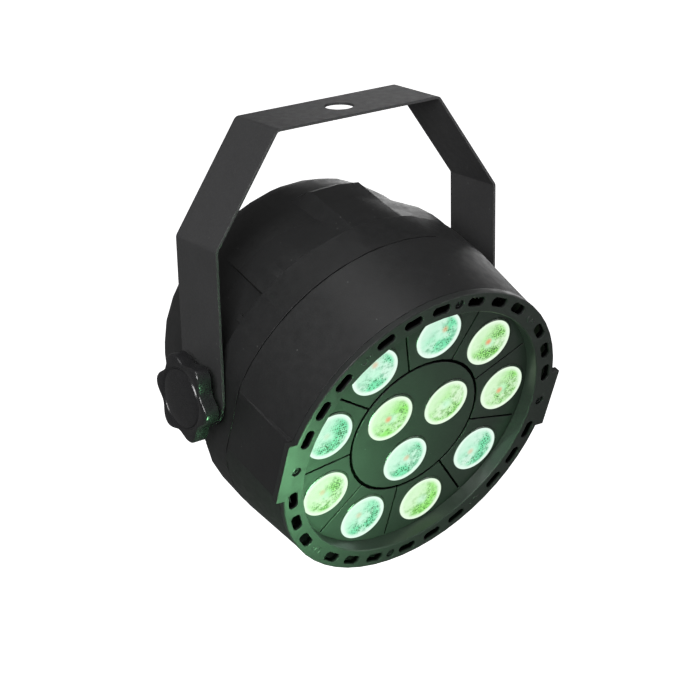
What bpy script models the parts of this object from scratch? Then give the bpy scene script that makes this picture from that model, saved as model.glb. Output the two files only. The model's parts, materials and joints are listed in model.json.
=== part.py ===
"""LED par can light on a hanging bracket, as an assembly of separate pieces.

Frame: +Z up, the light faces -Y, and the hinge axis lies along X. The origin is the
centre of the hanging hole, on the upper face of the bracket.
Sizes below are in millimetres and degrees; make_object turns them into metres.
Head pieces are drawn in the lamp frame: x to the right, y up across the lamp, z forward
along the lamp's axis, with z = 0 at the hinge.
"""
import math

import bmesh
import bpy
from mathutils import Matrix

MM = 0.001
GAP = 0.3                    # clearance between neighbouring pieces

# Bracket
PIVOT_DROP = 112.8           # hinge axis below the top face
BRACKET_WIDTH = 30.4
STEEL = 1.2
LEG_INNER = 74.9             # half the clear width between the legs
TOP_HALF = 43.4              # centre to the upper bend
LEG_HEIGHT = 66.7            # hinge axis to the lower bend
LEG_END = 15.0               # rounded end around the pivot
HANG_HOLE = 6.5
PIVOT_HOLE = 4.2
BEND_RADIUS = 3.0

# Head
TILT = 18.1                  # nose-down angle at rest
HEAD_ROLL = -2.2             # the head sits a little crooked on its studs
AXIS_DROP = 3.84             # lamp axis below the hinge
FACE = 60.2                  # front face of the ring
RING_RADIUS = 72.9
RING_BORE = 63.0
RING_THICK = 3.0
EAR_X = 75.4
CHEEK_X = 73.8
CHEEK_Y = 15.0
SCREW_CIRCLE = 68.2
SLOT_ANGLES = (13.7, 25.8, 37.9, 58.1, 70.0, 82.0)
SLOT_LENGTH = 9.3
SLOT_WIDTH = 4.6
PANEL_FRONT = 53.4
PANEL_THICK = 2.5
PANEL_RADIUS = 65.6
DISC_RADIUS = 33.2           # inner disc, inside the round groove
OUTER_LENSES = 9
OUTER_CIRCLE = 48.9
OUTER_PHASE = 90.0
INNER_LENSES = 3
INNER_CIRCLE = 18.0
INNER_PHASE = 30.0
WINDOW_RADIUS = 11.7
BARREL_RADIUS = 76.0
SEAM = 20.3                  # joint between the front and rear housings
SHOULDER = 3.0               # rear edge of the shoulder band
WALL = 2.4
REAR_END = -60.0
REAR_BORE = 46.4
REAR_PROFILE = ((3.0, 73.6), (-10.0, 71.8), (-20.0, 69.9), (-30.0, 68.6), (-40.0, 67.6),
                (-47.0, 65.2), (-53.0, 61.6), (-57.0, 55.4), (-60.0, 47.8))
CROWN_RISE = 0.9             # extra height of the rear rim towards the top
VALLEY_ANGLE = 19.0          # middle of the dished strip on each side of the top block
VALLEY_DEPTH = 1.2
FLANK_TOP = 75.6
FLANK_ANGLE = 49.0           # from the top to the lower edge of each ribbed flank
BLOCK_CENTRE = 91.3
BLOCK_TOP = 75.2
BLOCK_FALL = 0.5             # how much lower the block's top is at its rear
BLOCK_HALF = 9.8             # half angle of the raised top block
BLOCK_BASE = 14.5
BLOCK_END = -32.5
BLOCK_TAIL = -36.6
POST_RADIUS = 3.6
POST_CIRCLE = 66.0
POST_ANGLES = (30.0, 150.0, 270.0)
SINK_TOP = 36.0
SINK_BASE = 31.0
SINK_RADIUS = 62.0
FAN_FRONT = -2.0
FAN_DEPTH = 14.6
FAN_HALF = 30.0
FAN_SCREW = 25.0
COVER_RADIUS = 46.0
COVER_OUT = -59.6
COVER_IN = -57.2
COVER_SCREWS = (25.0, 155.0, 205.0, 335.0)
COVER_CIRCLE = 42.0
SOCKET_X = 15.5
SOCKET_Y = -3.0
SOCKET_BODY = 10.2
INLET_Y = -31.0
FUSE_SPOT = (-27.0, -28.5)
DISPLAY_Y = 30.0
EYE_Y = 41.6
BUTTON_Y = 18.2
BUTTONS = (("menu_button", -18.0), ("down_button", -6.0), ("up_button", 6.0), ("enter_button", 18.0))
BUTTON_RADIUS = 3.5

# Knobs
KNOB_INNER = 77.0
KNOB_HEIGHT = 10.6
KNOB_MEAN = 17.8
KNOB_LOBE = 1.9
LOBES = 6
KNOB_STEPS = 36
KNOB_PHASE = 8.0
STUD_RADIUS = 3.0
WASHER_RADIUS = 12.0
WASHER_RECESS = 0.8

ROUND = 56
FINE = 16


# ---------------------------------------------------------------- scene and materials

def clear_scene():
    for obj in list(bpy.data.objects):
        bpy.data.objects.remove(obj, do_unlink=True)


def material(name, colour, roughness, metallic=0.0):
    made = bpy.data.materials.new(name)
    made.use_nodes = True
    shader = made.node_tree.nodes["Principled BSDF"]
    shader.inputs["Base Color"].default_value = (*colour, 1.0)
    shader.inputs["Roughness"].default_value = roughness
    shader.inputs["Metallic"].default_value = metallic
    made.diffuse_color = (*colour, 1.0)
    return made


# ---------------------------------------------------------------- mesh building

def skin(rings, closed=False):
    """Faces between rings of points; a ring of one point is a pole."""
    bm = bmesh.new()
    made = [[bm.verts.new(point) for point in ring] for ring in rings]
    pairs = list(zip(made[:-1], made[1:]))
    if closed:
        pairs.append((made[-1], made[0]))
    for first, second in pairs:
        count = max(len(first), len(second))
        for i in range(count):
            j = (i + 1) % count
            if len(first) == 1:
                bm.faces.new((first[0], second[j], second[i]))
            elif len(second) == 1:
                bm.faces.new((first[i], first[j], second[0]))
            else:
                bm.faces.new((first[i], first[j], second[j], second[i]))
    if not closed:
        for ring in (made[0], made[-1]):
            if len(ring) > 2:
                bm.faces.new(ring)
    bmesh.ops.recalc_face_normals(bm, faces=bm.faces)
    return bm


def circle(radius, z, count, phase=0.0):
    steps = (phase + 2.0 * math.pi * i / count for i in range(count))
    return [(radius * math.cos(a), radius * math.sin(a), z) for a in steps]


def turned(profile, count=ROUND, closed=False):
    """A turned piece from (radius, z) pairs; closed makes a ring from a closed outline."""
    rings = []
    for radius, z in profile:
        rings.append([(0.0, 0.0, z)] if radius == 0.0 else circle(radius, z, count))
    return skin(rings, closed)


def rod(radius, z0, z1, count=FINE):
    return turned([(radius, z0), (radius, z1)], count)


def prism(outline, z0, z1):
    return skin([[(x, y, z0) for x, y in outline], [(x, y, z1) for x, y in outline]])


def box(x0, x1, y0, y1, z0, z1):
    return prism([(x0, y0), (x1, y0), (x1, y1), (x0, y1)], z0, z1)


def rounded_rectangle(width, height, radius, steps=3):
    outline = []
    for corner, (sx, sy) in enumerate(((1, 1), (-1, 1), (-1, -1), (1, -1))):
        for i in range(steps + 1):
            angle = math.radians(90.0 * corner + 90.0 * i / steps)
            outline.append((sx * (width / 2 - radius) + radius * math.cos(angle),
                            sy * (height / 2 - radius) + radius * math.sin(angle)))
    return outline


def moved(bm, x=0.0, y=0.0, z=0.0, turn=0.0):
    """Turns a mesh about z by turn degrees, then shifts it."""
    matrix = Matrix.Translation((x, y, z)) @ Matrix.Rotation(math.radians(turn), 4, "Z")
    bmesh.ops.transform(bm, matrix=matrix, verts=bm.verts)
    return bm


def along_x(bm, side=1):
    """Lays a mesh drawn along z onto the x axis, pointing to side."""
    bmesh.ops.transform(bm, matrix=Matrix.Rotation(math.radians(90.0 * side), 4, "Y"), verts=bm.verts)
    return bm


def polar(radius, angle):
    return radius * math.cos(math.radians(angle)), radius * math.sin(math.radians(angle))


def joined(pieces):
    """Several meshes as one, for a helper that cuts or adds them all."""
    whole = bmesh.new()
    for piece in pieces:
        scratch = bpy.data.meshes.new("scratch")
        piece.to_mesh(scratch)
        whole.from_mesh(scratch)
        bpy.data.meshes.remove(scratch)
        piece.free()
    return whole


def place(name, bm, parent, location):
    bmesh.ops.scale(bm, vec=(MM, MM, MM), verts=bm.verts)
    mesh = bpy.data.meshes.new(name)
    bm.to_mesh(mesh)
    bm.free()
    obj = bpy.data.objects.new(name, mesh)
    bpy.context.scene.collection.objects.link(obj)
    obj.parent = parent
    obj.location = [value * MM for value in location]
    return obj


def make_object(name, bm, parent, finish, location=(0.0, 0.0, 0.0)):
    obj = place(name, bm, parent, location)
    obj.data.materials.append(finish)
    obj.data.shade_smooth()
    obj.data.set_sharp_from_angle(angle=math.radians(32.0))
    return obj


def change(obj, operation, pieces, frame=None):
    """Adds or cuts meshes drawn in frame, or else in the frame of the object's parent."""
    parent = frame or obj.parent
    helper = place(obj.name + "_" + operation.lower(), joined(pieces), parent, (0.0, 0.0, 0.0))
    helper.hide_render = True
    helper.display_type = "WIRE"
    modifier = obj.modifiers.new(operation.title(), "BOOLEAN")
    modifier.operation = operation
    modifier.solver = "EXACT"
    modifier.object = helper


def add(obj, pieces, frame=None):
    change(obj, "UNION", pieces, frame)


def cut(obj, pieces, frame=None):
    change(obj, "DIFFERENCE", pieces, frame)


def empty(name, parent, location, turn_x=0.0, turn_z=0.0):
    made = bpy.data.objects.new(name, None)
    bpy.context.scene.collection.objects.link(made)
    made.parent = parent
    made.location = [value * MM for value in location]
    made.rotation_euler = (math.radians(turn_x), 0.0, math.radians(turn_z))
    return made


# ---------------------------------------------------------------- bracket

def fillet(points, radius, steps=4):
    """Rounds the inner corners of an open line of (x, z) points."""
    line = [points[0]]
    for before, corner, after in zip(points, points[1:], points[2:]):
        ax, az = before[0] - corner[0], before[1] - corner[1]
        bx, bz = after[0] - corner[0], after[1] - corner[1]
        la, lb = math.hypot(ax, az), math.hypot(bx, bz)
        ax, az, bx, bz = ax / la, az / la, bx / lb, bz / lb
        half = math.acos(ax * bx + az * bz) / 2
        reach = radius / math.tan(half)
        mx, mz = ax + bx, az + bz
        centre_reach = radius / math.sin(half) / math.hypot(mx, mz)
        cx, cz = corner[0] + mx * centre_reach, corner[1] + mz * centre_reach
        start = math.atan2(corner[1] + az * reach - cz, corner[0] + ax * reach - cx)
        end = math.atan2(corner[1] + bz * reach - cz, corner[0] + bx * reach - cx)
        sweep = (end - start + math.pi) % (2 * math.pi) - math.pi
        for i in range(steps + 1):
            angle = start + sweep * i / steps
            line.append((cx + radius * math.cos(angle), cz + radius * math.sin(angle)))
    line.append(points[-1])
    return line


def bracket_line(inset):
    """The bracket's outline in x and z, inset from its outer face."""
    slope = math.atan2(PIVOT_DROP - LEG_HEIGHT, LEG_INNER + STEEL - TOP_HALF)
    leg = LEG_INNER + STEEL - inset
    top = TOP_HALF - inset * math.tan(slope / 2)
    low = LEG_HEIGHT - PIVOT_DROP - inset * math.tan((math.pi / 2 - slope) / 2)
    foot = -PIVOT_DROP - LEG_END - 1.0
    corners = [(-leg, foot), (-leg, low), (-top, -inset), (top, -inset), (leg, low), (leg, foot)]
    return fillet(corners, BEND_RADIUS - inset)


def build_bracket(steel):
    outline = bracket_line(0.0) + bracket_line(STEEL)[::-1]
    half = BRACKET_WIDTH / 2
    bm = skin([[(x, -half, z) for x, z in outline], [(x, half, z) for x, z in outline]])
    obj = make_object("bracket", bm, None, steel)
    foot = [(-half - 1.0, 0.0)]
    foot += [(y, z) for y, z in (polar(LEG_END, 180.0 + 180.0 * i / 16) for i in range(17))]
    foot += [(half + 1.0, 0.0), (half + 1.0, -LEG_END - 2.0), (-half - 1.0, -LEG_END - 2.0)]
    reach = LEG_INNER + 5.0
    ends = skin([[(x, y, z - PIVOT_DROP) for y, z in foot] for x in (-reach, reach)])
    pivot = along_x(rod(PIVOT_HOLE, -reach, reach))
    bmesh.ops.translate(pivot, vec=(0.0, 0.0, -PIVOT_DROP), verts=pivot.verts)
    cut(obj, [ends, pivot, rod(HANG_HOLE, -3.0, 3.0, 32)])


# ---------------------------------------------------------------- housings

def ease(value, start, end):
    t = min(1.0, max(0.0, (value - start) / (end - start)))
    return t * t * (3.0 - 2.0 * t)


def dome(z):
    """Outer radius of the plain rear shell, along its profile."""
    for (z0, r0), (z1, r1) in zip(REAR_PROFILE, REAR_PROFILE[1:]):
        if z >= z1:
            return r0 + (r1 - r0) * max(0.0, z0 - z) / (z0 - z1)
    return REAR_PROFILE[-1][1]


def flank(off, z):
    """Height above the plain shell, off degrees from the top."""
    rise = CROWN_RISE * ease(-off, -42.0, -12.0) * ease(-z, 28.0, 50.0) * ease(z, -60.0, -53.0)
    rise += (FLANK_TOP - dome(z)) * ease(z, -30.0, -9.0) * ease(off, 20.0, 33.0)
    dish = VALLEY_DEPTH * math.exp(-((off - VALLEY_ANGLE) / 5.0) ** 2)
    rise -= dish * ease(z, -47.0, -36.0) * ease(-z, 4.0, 20.0)
    depth = ease(z, -38.0, -4.0)
    for middle, width, height in ((39.2, 1.6, -1.0), (42.2, 2.4, 0.2), (45.2, 2.6, -0.9)):
        rise += depth * height * math.exp(-((off - middle) / width) ** 2)
    return rise


def block(z):
    """Radius of the raised block along the top."""
    top = BLOCK_TOP - BLOCK_FALL * ease(-z, 0.0, -BLOCK_END)
    return top - (top - dome(BLOCK_TAIL)) * ease(-z, -BLOCK_END - 3.0, -BLOCK_TAIL)


def rear_radius(theta, z):
    """Outer radius of the rear housing at theta degrees and z."""
    side = 1.0 / max(0.05, abs(math.cos(math.radians(theta))))
    across = abs(math.degrees(math.asin(math.sin(math.radians(theta)))))
    if z >= SHOULDER:
        return min(BARREL_RADIUS, CHEEK_X * side)
    off = abs((theta - 90.0 + 180.0) % 360.0 - 180.0)
    radius = dome(z)
    if off <= FLANK_ANGLE:
        radius += flank(off, z)
        beside = abs(theta - BLOCK_CENTRE)
        if beside <= BLOCK_BASE and z > BLOCK_TAIL:
            share = min(1.0, (BLOCK_BASE - beside) / (BLOCK_BASE - BLOCK_HALF))
            radius = max(radius, radius + (block(z) - radius) * share)
    if across <= 11.5 and z >= -17.0:
        radius = max(radius, CHEEK_X * side)
    return min(radius, CHEEK_X * side)


def around():
    """Angles of the rear housing's grid, with an edge on each side of each step."""
    angles = {10.0 * i for i in range(36)}
    for off in (BLOCK_HALF, BLOCK_BASE):
        angles.update((BLOCK_CENTRE - off, BLOCK_CENTRE + off))
    for off in (20.0, 26.0, 32.0, 37.0, 39.2, 42.2, 45.2, FLANK_ANGLE, FLANK_ANGLE + 0.7):
        angles.update((90.0 - off, 90.0 + off))
    for step in (11.4, 12.1):
        angles.update((step, 180.0 - step, 180.0 + step, 360.0 - step))
    near_steps = {10.0, 40.0, 50.0, 60.0, 70.0, 80.0, 100.0, 110.0, 120.0, 130.0, 140.0, 170.0, 190.0, 350.0}
    return sorted(angles - near_steps)


def build_rear_housing(plastic, lamp, hinge):
    depths = [SEAM - GAP, SHOULDER, SHOULDER - 0.4, -8.0, -16.9, -17.6, BLOCK_END + 4.0, BLOCK_END,
              BLOCK_TAIL, -47.0, -53.0, -57.0, -59.0, REAR_END]
    angles = around()
    rings = []
    for z in depths:
        ring = []
        for theta in angles:
            x, y = polar(rear_radius(theta, z), theta)
            ring.append((x, y, z))
        rings.append(ring)
    inner = [(REAR_BORE, REAR_END), (REAR_BORE, COVER_IN + 1.0)]
    inner += [(dome(z) - WALL, z) for z in (-55.4, -51.0, -44.0, -30.0, -8.0)]
    inner += [(BARREL_RADIUS - WALL - 1.2, SEAM - GAP)]
    for radius, z in inner:
        rings.append([(*polar(radius, theta), z) for theta in angles])
    obj = make_object("rear_housing", skin(rings, closed=True), lamp, plastic)
    extra = []
    for angle in POST_ANGLES:
        x, y = polar(POST_CIRCLE, angle)
        extra.append(moved(rod(POST_RADIUS, -2.0, SINK_BASE - GAP, 16), x, y))
    add(obj, extra)
    ribs = []
    for angle in POST_ANGLES:
        ribs.append(moved(box(POST_CIRCLE, BARREL_RADIUS - 1.5, -1.5, 1.5, -1.0, SEAM - 1.0), turn=angle))
    for angle in COVER_SCREWS:
        ribs.append(moved(box(COVER_CIRCLE - 3.0, 54.5, -3.0, 3.0, COVER_IN + GAP, -48.0), turn=angle))
    for side in (-1, 1):
        x0, x1 = sorted((side * 38.0, side * 58.0))
        ribs.append(box(x0, x1, -36.0, -32.0, -29.6, -24.9))
    add(obj, ribs)
    sides = (-1, 1)
    seat = CHEEK_X - WASHER_RECESS
    add(obj, [along_x(rod(8.0, 64.2, 71.5), side) for side in sides], hinge)
    cut(obj, [along_x(rod(WASHER_RADIUS + GAP, seat, 80.0, 28), side) for side in sides], hinge)
    cut(obj, [along_x(rod(STUD_RADIUS + 0.4, 60.0, 80.0), side) for side in sides], hinge)
    cut(obj, [along_x(rod(6.2, 60.0, 69.6, 6), side) for side in sides], hinge)
    holes = [moved(rod(1.9, 10.0, 40.0, 12), *polar(POST_CIRCLE, a)) for a in POST_ANGLES]
    holes += [moved(rod(1.7, -60.0, -49.5, 12), *polar(COVER_CIRCLE, a)) for a in COVER_SCREWS]
    cut(obj, holes)


def build_front_housing(plastic, lamp):
    base = math.degrees(math.asin(CHEEK_Y / RING_RADIUS))
    edge = math.degrees(math.atan2(CHEEK_Y, CHEEK_X))
    angles = {7.5 * i for i in range(48)}
    for step in (edge, base):
        angles.update((step, 180.0 - step, 180.0 + step, 360.0 - step))
    angles = sorted(angles)
    rear, front = SEAM + GAP, FACE - RING_THICK - GAP
    rings = []
    for share in (0.0, 0.35, 1.0):
        z = rear + (front - rear) * share
        cone = BARREL_RADIUS + (RING_RADIUS - 0.1 - BARREL_RADIUS) * share
        ring = []
        for theta in angles:
            side = CHEEK_X / max(0.05, abs(math.cos(math.radians(theta))))
            across = abs(math.degrees(math.asin(math.sin(math.radians(theta)))))
            flat = across <= edge + 0.01
            radius = side if flat else min(cone, side)
            ring.append((*polar(radius, theta), z))
        rings.append(ring)
    for radius, z in ((RING_RADIUS - 2.3, front), (BARREL_RADIUS - 2.2, rear)):
        rings.append([(*polar(radius, theta), z) for theta in angles])
    obj = make_object("front_housing", skin(rings, closed=True), lamp, plastic)
    top = PANEL_FRONT - PANEL_THICK - GAP
    add(obj, [moved(rod(3.4, 40.0, top, 16), *polar(SCREW_CIRCLE, a)) for a in (0.0, 90.0, 180.0, 270.0)])
    webs = [moved(box(SCREW_CIRCLE, 71.5, -1.6, 1.6, 41.0, top - 0.5), turn=a) for a in (0, 90, 180, 270)]
    add(obj, webs)
    cut(obj, [moved(rod(1.8, 43.0, 60.0, 12), *polar(SCREW_CIRCLE, a)) for a in (0.0, 90.0, 180.0, 270.0)])


# ---------------------------------------------------------------- face

def slot_angles():
    for quarter in (0.0, 180.0):
        for angle in SLOT_ANGLES:
            yield quarter + angle
            yield quarter - angle


def build_bezel(plastic, lamp):
    back = FACE - RING_THICK
    sleeve = PANEL_FRONT + GAP
    profile = [(RING_BORE, FACE - 0.4), (RING_BORE + 0.4, FACE), (RING_RADIUS - 0.4, FACE),
               (RING_RADIUS, FACE - 0.4), (RING_RADIUS, back), (RING_BORE + 1.8, back),
               (RING_BORE + 1.8, sleeve), (RING_BORE - 0.4, sleeve)]
    obj = make_object("front_bezel", turned(profile, ROUND, closed=True), lamp, plastic)
    ears = []
    for side in (-1, 1):
        x0, x1 = sorted((side * 69.5, side * EAR_X))
        ears.append(box(x0, x1, -CHEEK_Y, CHEEK_Y, back, FACE))
    add(obj, ears)
    bosses = [moved(box(64.0, 69.8, -3.2, 3.2, sleeve, back + 1.0), turn=a) for a in (0, 90, 180, 270)]
    add(obj, bosses)
    slot = rounded_rectangle(SLOT_WIDTH, SLOT_LENGTH, 1.3, 1)
    holes = []
    for angle in slot_angles():
        holes.append(moved(prism(slot, back - 1.0, FACE + 1.0), *polar(SCREW_CIRCLE, angle), turn=angle))
    for angle in (0.0, 90.0, 180.0, 270.0):
        x, y = polar(SCREW_CIRCLE, angle)
        step = [(1.9, 50.0), (1.9, FACE - 2.0), (2.3, FACE - 2.0), (2.3, FACE + 1.0)]
        holes.append(moved(turned(step, 14), x, y))
    cut(obj, holes)


def build_bezel_screws(steel, lamp):
    profile = [(1.3, 44.5), (1.3, FACE - 1.8), (2.0, FACE - 1.7), (2.0, FACE - 0.9), (0.0, FACE - 0.7)]
    for number, angle in enumerate((90.0, 180.0, 270.0, 0.0), 1):
        bm = turned(profile, 12)
        x, y = polar(SCREW_CIRCLE, angle)
        make_object("bezel_screw_%d" % number, bm, lamp, steel, (x, y, 0.0))


def lens_spots():
    for i in range(OUTER_LENSES):
        yield polar(OUTER_CIRCLE, OUTER_PHASE + 360.0 * i / OUTER_LENSES)
    for i in range(INNER_LENSES):
        yield polar(INNER_CIRCLE, INNER_PHASE + 360.0 * i / INNER_LENSES)


def build_panel(plastic, lamp):
    back = PANEL_FRONT - PANEL_THICK
    obj = make_object("lens_panel", rod(PANEL_RADIUS - 1.3, back, PANEL_FRONT, ROUND), lamp, plastic)
    lugs = [moved(box(60.0, 69.8, -3.2, 3.2, back, PANEL_FRONT), turn=a) for a in (0, 90, 180, 270)]
    add(obj, lugs)
    cuts = [moved(rod(WINDOW_RADIUS, back - 1.0, PANEL_FRONT + 1.0, 18), x, y) for x, y in lens_spots()]
    for angle in (0, 90, 180, 270):
        cuts.append(moved(rod(1.9, back - 1.0, PANEL_FRONT + 1.0, 12), *polar(SCREW_CIRCLE, angle)))
    groove = [(DISC_RADIUS, PANEL_FRONT - 1.4), (DISC_RADIUS + 1.5, PANEL_FRONT - 1.4),
              (DISC_RADIUS + 1.5, PANEL_FRONT + 1.0), (DISC_RADIUS, PANEL_FRONT + 1.0)]
    cut(obj, cuts)
    cut(obj, [turned(groove, 45, closed=True)])
    step = 360.0 / OUTER_LENSES
    lines = [moved(box(DISC_RADIUS + 0.7, 62.2, -0.5, 0.5, PANEL_FRONT - 0.9, PANEL_FRONT + 1.0),
                   turn=OUTER_PHASE + step * (i + 0.5)) for i in range(OUTER_LENSES)]
    cut(obj, lines)


def build_lenses(clear, lamp):
    rear = SINK_TOP + 5.2
    profile = [(3.2, rear), (5.4, rear), (9.6, 48.2), (12.6, 48.4), (12.6, 50.7), (11.3, 50.7),
               (11.3, 51.7), (0.0, 52.6)]
    for number, (x, y) in enumerate(lens_spots(), 1):
        bm = turned([(0.0, rear + 1.6)] + profile, FINE)
        make_object("lens_%02d" % number, bm, lamp, clear, (x, y, 0.0))


def build_led_board(board, lamp):
    low = SINK_TOP + GAP
    obj = make_object("led_board", rod(60.0, low, low + 1.6, 40), lamp, board)
    add(obj, [moved(box(-2.5, 2.5, -2.5, 2.5, low + 1.0, low + 3.2), x, y) for x, y in lens_spots()])
    cut(obj, [moved(rod(2.2, low - 1.0, low + 3.0, 10), *polar(34.0, a)) for a in (0.0, 120.0, 240.0)])


def build_heat_sink(metal, lamp):
    obj = make_object("heat_sink", rod(SINK_RADIUS, SINK_BASE, SINK_TOP, 40), lamp, metal)
    parts = []
    for i in range(-6, 7):
        x = 9.0 * i
        reach = math.sqrt((SINK_RADIUS - 5.0) ** 2 - x * x)
        parts.append(box(x - 0.9, x + 0.9, -reach, reach, 0.0, SINK_BASE + 1.0))
    add(obj, parts)
    corners = [(s * FAN_SCREW, -s * FAN_SCREW) for s in (-1, 1)]
    add(obj, [moved(box(58.0, 69.5, -4.0, 4.0, SINK_BASE, SINK_BASE + 3.0), turn=a) for a in POST_ANGLES])
    add(obj, [moved(rod(3.2, FAN_FRONT + GAP, SINK_BASE + 1.0, 12), x, y) for x, y in corners])
    low, high = SINK_BASE - 3.0, SINK_BASE + 9.0
    holes = [moved(rod(1.9, low, high, 12), *polar(POST_CIRCLE, a)) for a in POST_ANGLES]
    holes += [moved(rod(1.5, -5.0, 12.0, 10), x, y) for x, y in corners]
    cut(obj, holes)


def build_sink_screws(steel, lamp):
    top = SINK_BASE + 3.0 + GAP
    profile = [(1.4, 12.0), (1.4, top), (3.0, top), (3.0, top + 1.6), (0.0, top + 2.2)]
    for number, angle in enumerate(POST_ANGLES, 1):
        x, y = polar(POST_CIRCLE, angle)
        make_object("sink_screw_%d" % number, turned(profile, 12), lamp, steel, (x, y, 0.0))


# ---------------------------------------------------------------- fan

def build_fan(plastic, lamp):
    rear = FAN_FRONT - FAN_DEPTH
    outline = rounded_rectangle(2 * FAN_HALF, 2 * FAN_HALF, 4.0, 3)
    obj = make_object("fan_frame", prism(outline, rear, FAN_FRONT), lamp, plastic)
    cut(obj, [rod(28.0, rear - 1.0, FAN_FRONT + 1.0, 28)])
    add(obj, [moved(box(6.0, 28.6, -1.3, 1.3, rear, rear + 2.4), turn=45.0 + 90.0 * i) for i in range(4)])
    add(obj, [rod(11.0, rear, rear + 2.6, 24)])
    corners = [(s * FAN_SCREW, t * FAN_SCREW) for s in (-1, 1) for t in (-1, 1)]
    holes = [moved(rod(2.0, rear - 1.0, FAN_FRONT + 1.0, 10), x, y) for x, y in corners]
    holes.append(rod(1.6, rear + 1.0, rear + 4.0, 10))
    cut(obj, holes)

    low = rear + 2.6 + GAP
    hub = turned([(1.2, low - 1.2), (1.2, low), (12.0, low), (12.0, -4.0), (10.6, -3.2), (0.0, -3.2)], 20)
    rotor = make_object("fan_rotor", hub, lamp, plastic)
    blades = []
    for i in range(7):
        rings = []
        for radius in (11.0, 19.0, 26.6):
            lean = math.radians(38.0 - 0.5 * (radius - 11.0))
            half = 4.6
            dy, dz = half * math.cos(lean) * radius / 15.0, half * math.sin(lean)
            dy = min(dy, 7.4)
            rings.append([(radius, -dy, -8.6 - dz), (radius, dy, -8.6 + dz),
                          (radius, dy, -7.6 + dz), (radius, -dy, -7.6 - dz)])
        blades.append(moved(skin(rings), turn=360.0 * i / 7))
    add(rotor, blades)


def build_fan_screws(steel, lamp):
    rear = FAN_FRONT - FAN_DEPTH
    profile = [(1.2, 8.0), (1.2, rear - GAP), (2.9, rear - GAP), (2.9, rear - 1.9), (0.0, rear - 2.2)]
    for number, side in enumerate((-1, 1), 1):
        bm = turned(profile, 12)
        make_object("fan_screw_%d" % number, bm, lamp, steel, (side * FAN_SCREW, -side * FAN_SCREW, 0.0))


# ---------------------------------------------------------------- electronics

def build_power(board, dark, wire, lamp):
    obj = make_object("power_board", box(-42.0, 42.0, -49.0, -18.0, -24.6, -23.0), lamp, board)
    add(obj, [box(-6.0, 8.0, -47.0, -42.0, -23.4, -19.0), box(-32.0, -22.0, -26.0, -20.0, -29.0, -24.0)])
    core = make_object("transformer", box(-38.0, -17.0, -44.0, -30.0, -38.5, -24.9), lamp, dark)
    add(core, [moved(rod(9.4, -37.0, -26.6, 24), -27.5, -37.0)])
    can = turned([(7.0, -24.9), (7.0, -41.0), (6.4, -41.6), (0.0, -41.6)], 24)
    make_object("capacitor", can, lamp, dark, (27.0, -34.0, 0.0))
    make_object("led_lead", lead_tube(), lamp, wire)


def lead_tube():
    """Wire pair from the supply board, past the rim of the heat sink, to the LED board."""
    route = [(36.0, -34.0, -22.7), (36.0, -34.0, -18.0), (41.0, -41.0, -11.0), (44.5, -47.0, 4.0),
             (45.0, -47.5, 28.0), (44.5, -47.0, 36.0), (42.0, -44.5, 40.5), (38.0, -40.5, 41.5),
             (36.0, -38.4, 40.0), (36.0, -38.4, 38.2)]
    rings = []
    for i, (x, y, z) in enumerate(route):
        ahead = route[min(i + 1, len(route) - 1)]
        behind = route[max(i - 1, 0)]
        dx, dy, dz = (ahead[k] - behind[k] for k in range(3))
        length = math.sqrt(dx * dx + dy * dy + dz * dz)
        along = (dx / length, dy / length, dz / length)
        side = cross(along, (0.72, 0.69, 0.0))
        up = cross(along, side)
        ring = []
        for step in range(8):
            c, s = polar(1.3, 45.0 * step)
            ring.append(tuple(at + c * a + s * b for at, a, b in zip((x, y, z), side, up)))
        rings.append(ring)
    return skin(rings)


def cross(a, b):
    """Unit vector at right angles to a and b."""
    c = (a[1] * b[2] - a[2] * b[1], a[2] * b[0] - a[0] * b[2], a[0] * b[1] - a[1] * b[0])
    length = math.sqrt(sum(value * value for value in c)) or 1.0
    return tuple(value / length for value in c)


def build_control_board(board, lamp):
    obj = make_object("control_board", box(-26.0, 26.0, 12.0, 38.0, -51.8, -50.2), lamp, board)
    parts = [box(-13.0, 13.0, DISPLAY_Y - 5.0, DISPLAY_Y + 5.0, -56.2, -51.0)]
    parts += [box(x - 3.0, x + 3.0, BUTTON_Y - 3.0, BUTTON_Y + 3.0, -55.0, -51.0) for _, x in BUTTONS]
    add(obj, parts)


# ---------------------------------------------------------------- rear cover and what it carries

def build_cover(plastic, lamp):
    profile = [(0.0, COVER_IN), (COVER_RADIUS, COVER_IN), (COVER_RADIUS, COVER_OUT + 0.4),
               (COVER_RADIUS - 0.4, COVER_OUT), (0.0, COVER_OUT)]
    obj = make_object("rear_cover", turned(profile, ROUND), lamp, plastic)
    low, high = COVER_OUT - 2.0, COVER_IN + 2.0
    holes = [moved(rod(SOCKET_BODY + GAP, low, high, 24), side * SOCKET_X, SOCKET_Y) for side in (-1, 1)]
    holes.append(box(SOCKET_X - 4.4, SOCKET_X + 4.4, SOCKET_Y + 10.8, SOCKET_Y + 14.4, low, high))
    holes.append(moved(prism(rounded_rectangle(27.6, 20.4, 2.0, 1), low, high), 0.0, INLET_Y))
    holes.append(moved(rod(5.0, low, high, 20), *FUSE_SPOT))
    holes.append(moved(prism(rounded_rectangle(28.6, 11.6, 1.3, 1), low, high), 0.0, DISPLAY_Y))
    holes += [moved(rod(BUTTON_RADIUS + GAP, low, high, 14), x, BUTTON_Y) for _, x in BUTTONS]
    holes += [moved(rod(1.9, low, high, 12), *polar(COVER_CIRCLE, a)) for a in COVER_SCREWS]
    for side in (-1, 1):
        for row in range(-2, 3):
            holes.append(moved(box(-4.2, 4.2, -0.9, 0.9, low, high), side * 37.0, 4.0 * row))
    cut(obj, holes)


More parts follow.
